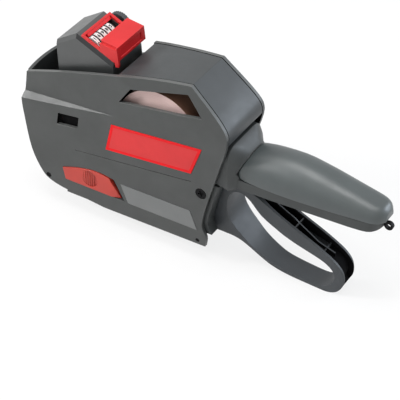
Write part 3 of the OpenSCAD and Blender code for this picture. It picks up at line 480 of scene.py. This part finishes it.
def figure(character):
    """One printed digit, as the points and faces of a thin closed mesh about its own middle."""
    curve = bpy.data.curves.new("figure", "FONT")
    curve.body = character
    curve.size = FIGURE
    curve.extrude = FIGURE_HALF
    curve.offset = FIGURE_BOLD
    curve.resolution_u = 4
    obj = new_object("figure", curve)
    mesh = bpy.data.meshes.new_from_object(obj.evaluated_get(bpy.context.evaluated_depsgraph_get()))
    bpy.data.objects.remove(obj)
    bpy.data.curves.remove(curve)
    cuts = bmesh.new()
    cuts.from_mesh(mesh)
    for k in range(1, int(FIGURE / CUT)):
        everything = cuts.verts[:] + cuts.edges[:] + cuts.faces[:]
        bmesh.ops.bisect_plane(cuts, geom=everything, plane_co=(0, k * CUT, 0), plane_no=(0, 1, 0))
    cuts.to_mesh(mesh)
    cuts.free()
    points = [v.co.copy() for v in mesh.vertices]
    mid = [(min(q[k] for q in points) + max(q[k] for q in points)) / 2 for k in (0, 1)]
    faces = [tuple(f.vertices) for f in mesh.polygons]
    bpy.data.meshes.remove(mesh)
    return [(q.x - mid[0], q.y - mid[1], q.z) for q in points], faces


def printed(name, wheel, band, shown):
    """The ten figures on one wheel's rim, turned so that shown faces the window."""
    lo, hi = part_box(wheel)
    strip_y = (lo.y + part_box(band)[0].y - BAND_GAP) / 2
    axis_x, axis_z, radius = (lo.x + hi.x) / 2, (lo.z + hi.z) / 2, (hi.x - lo.x) / 2
    bm = bmesh.new()
    for k, (points, faces) in enumerate(figures):
        turn = FACING + TENTH * (k - shown)
        made = []
        for x, y, z in points:
            a = turn + y / radius
            r = radius + FIGURE_OFF + z
            made.append(bm.verts.new((axis_x + r * math.cos(a), strip_y + x, axis_z + r * math.sin(a))))
        for f in faces:
            bm.faces.new([made[v] for v in f])
    bmesh.ops.remove_doubles(bm, verts=bm.verts, dist=FIGURE_WELD)
    bmesh.ops.recalc_face_normals(bm, faces=bm.faces)
    mesh = bpy.data.meshes.new(name)
    bm.to_mesh(mesh)
    bm.free()
    mesh.materials.append(FINISH["print"])
    return new_object(name, mesh)


figures = [figure(str(k)) for k in range(10)]
for w, (wheel, band, shown) in enumerate(zip(WHEELS, BANDS, SHOWN), 1):
    digits = printed("digits_%d" % w, wheel, band, shown)
    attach(digits, wheel)

# ---------------------------------------------------------------- camera
AZ, EL = math.radians(31.6), math.radians(38.9)  # to the right of straight at the left side, and up
AIM = Vector((-6.13, 0, 27.99)) * MM             # a point on the camera's axis
CAMERA_FAR = 1064.69 * MM                        # how far the camera is from it
ahead = Vector((-math.sin(AZ) * math.cos(EL), math.cos(AZ) * math.cos(EL), -math.sin(EL)))
right = Vector((math.cos(AZ), math.sin(AZ), 0))
up = right.cross(ahead)
cam = bpy.data.cameras.new("camera")
cam.sensor_width = 36
cam.lens = 144
cam.clip_start = 0.05
camera = new_object("camera", cam)
turned = Matrix((right, up, -ahead)).transposed().to_4x4()
camera.matrix_world = Matrix.Translation(AIM - ahead * CAMERA_FAR) @ turned
bpy.context.scene.camera = camera

# ---------------------------------------------------------------- floor and studio
FLOOR_HALF = 4            # half the floor's side, metres
FLOOR_DOWN = 0.4 * MM     # how far it lies under z = 0
FLOOR_GREY = 0.86
FLOOR_GLOW = 0.80         # share of plain white in what camera and mirror rays meet on the floor
STUDIO_LIT = 0.42         # the world's strength as a light
STUDIO_SEEN = 1.0         # and where camera, mirror and glass rays meet it


def ray_is(tree, *kinds):
    """1 for a ray of any of the kinds, such as Is Camera Ray, and otherwise 0."""
    rays = tree.nodes.new("ShaderNodeLightPath").outputs
    found = rays[kinds[0]]
    for kind in kinds[1:]:
        either = tree.nodes.new("ShaderNodeMath")
        either.operation = "MAXIMUM"
        tree.links.new(found, either.inputs[0])
        tree.links.new(rays[kind], either.inputs[1])
        found = either.outputs[0]
    return found


def floor_finish():
    """Pale grey that keeps the object's shadow under a glow for camera and mirror rays."""
    mat = bpy.data.materials.new("floor")
    mat.use_nodes = True
    tree = mat.node_tree
    grey = tree.nodes["Principled BSDF"]
    grey.inputs["Base Color"].default_value = (FLOOR_GREY, FLOOR_GREY, FLOOR_GREY, 1)
    grey.inputs["Roughness"].default_value = 0.9
    grey.inputs["Specular IOR Level"].default_value = 0.1
    glow = tree.nodes.new("ShaderNodeEmission")
    glow.inputs["Color"].default_value = (1, 1, 1, 1)
    glow.inputs["Strength"].default_value = 1.0
    share = tree.nodes.new("ShaderNodeMath")
    share.operation = "MULTIPLY"
    share.inputs[1].default_value = FLOOR_GLOW
    tree.links.new(ray_is(tree, "Is Camera Ray", "Is Glossy Ray"), share.inputs[0])
    blend = tree.nodes.new("ShaderNodeMixShader")
    tree.links.new(share.outputs[0], blend.inputs["Fac"])
    tree.links.new(grey.outputs[0], blend.inputs[1])
    tree.links.new(glow.outputs[0], blend.inputs[2])
    tree.links.new(blend.outputs[0], tree.nodes["Material Output"].inputs["Surface"])
    return mat


def studio():
    """A white world to camera, mirror and glass rays, and a dimmer one as a light."""
    world = bpy.data.worlds.new("studio")
    world.use_nodes = True
    tree = world.node_tree
    background = tree.nodes["Background"]
    background.inputs["Color"].default_value = (1, 1, 1, 1)
    strength = tree.nodes.new("ShaderNodeMapRange")
    strength.inputs["To Min"].default_value = STUDIO_LIT
    strength.inputs["To Max"].default_value = STUDIO_SEEN
    seen = ray_is(tree, "Is Camera Ray", "Is Glossy Ray", "Is Transmission Ray")
    tree.links.new(seen, strength.inputs["Value"])
    tree.links.new(strength.outputs[0], background.inputs["Strength"])
    return world


corners = [(x * FLOOR_HALF, y * FLOOR_HALF, 0) for x, y in ((-1, -1), (1, -1), (1, 1), (-1, 1))]
floor_mesh = bpy.data.meshes.new("floor")
floor_mesh.from_pydata(corners, [], [(0, 1, 2, 3)])
floor = new_object("floor", floor_mesh)
floor.location.z = -FLOOR_DOWN
floor_mesh.materials.append(floor_finish())
bpy.context.scene.world = studio()


# ---------------------------------------------------------------- lamps
def lamp(name, where, at, size, power, colour=(1, 1, 1)):
    """A soft rectangular lamp that faces the point at, in metres and watts."""
    data = bpy.data.lights.new(name, "AREA")
    data.shape = "RECTANGLE"
    data.size, data.size_y = size
    data.energy = power
    data.color = colour
    obj = new_object(name, data)
    obj.location = where
    obj.rotation_euler = (Vector(at) - Vector(where)).to_track_quat("-Z", "Y").to_euler()


lamp("key", (-0.25, -1.2, 0.95), (0, 0, 0.06), (1.7, 1.3), 2.3)
lamp("front_left", (-0.88, -0.55, 0.68), (-0.08, 0, 0.08), (0.24, 0.24), 8.0)
lamp("top", (-0.02, -0.16, 1.15), (0.02, 0, 0.08), (0.90, 0.55), 7.5)
lamp("right", (0.88, 0.74, 0.46), (0.05, 0, 0.07), (0.7, 0.5), 6.5, (0.78, 0.88, 1.0))

bpy.context.scene.view_settings.view_transform = "Standard"
